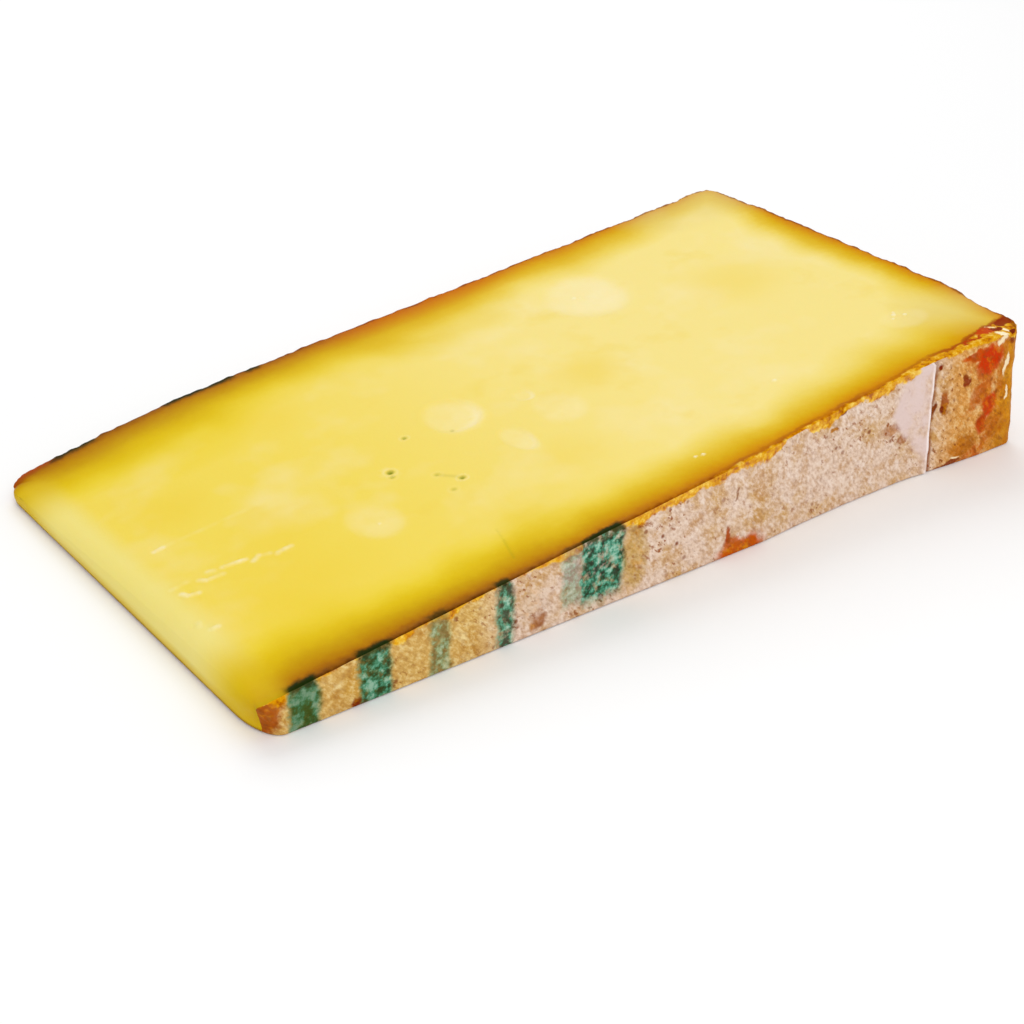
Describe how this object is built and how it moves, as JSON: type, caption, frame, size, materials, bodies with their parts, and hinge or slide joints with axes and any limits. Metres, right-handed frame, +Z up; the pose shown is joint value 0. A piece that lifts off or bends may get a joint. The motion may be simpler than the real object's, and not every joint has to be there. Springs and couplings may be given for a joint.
{
  "type": "cheese wedge",
  "caption": "Thin wedge of semi-hard cheese cut from a tall wheel, lying on one cut face, with rind on both long sides and the thick heel and a blunt narrow nose.",
  "frame": {"origin": "on the ground under the middle of the wedge's bounding box, in the plane of the lower cut face", "axes": "+X from the thin nose to the thick heel, +Y from the front rind to the back rind, +Z up, away from the lower cut face"},
  "size_m": [0.1722, 0.095, 0.0259],
  "materials": {
    "cheese": "satin, slightly oily paste with a dry, powdery brown rind"
  },
  "bodies": {
    "root": {"cheese_wedge": "cheese"}
  },
  "joints": []
}
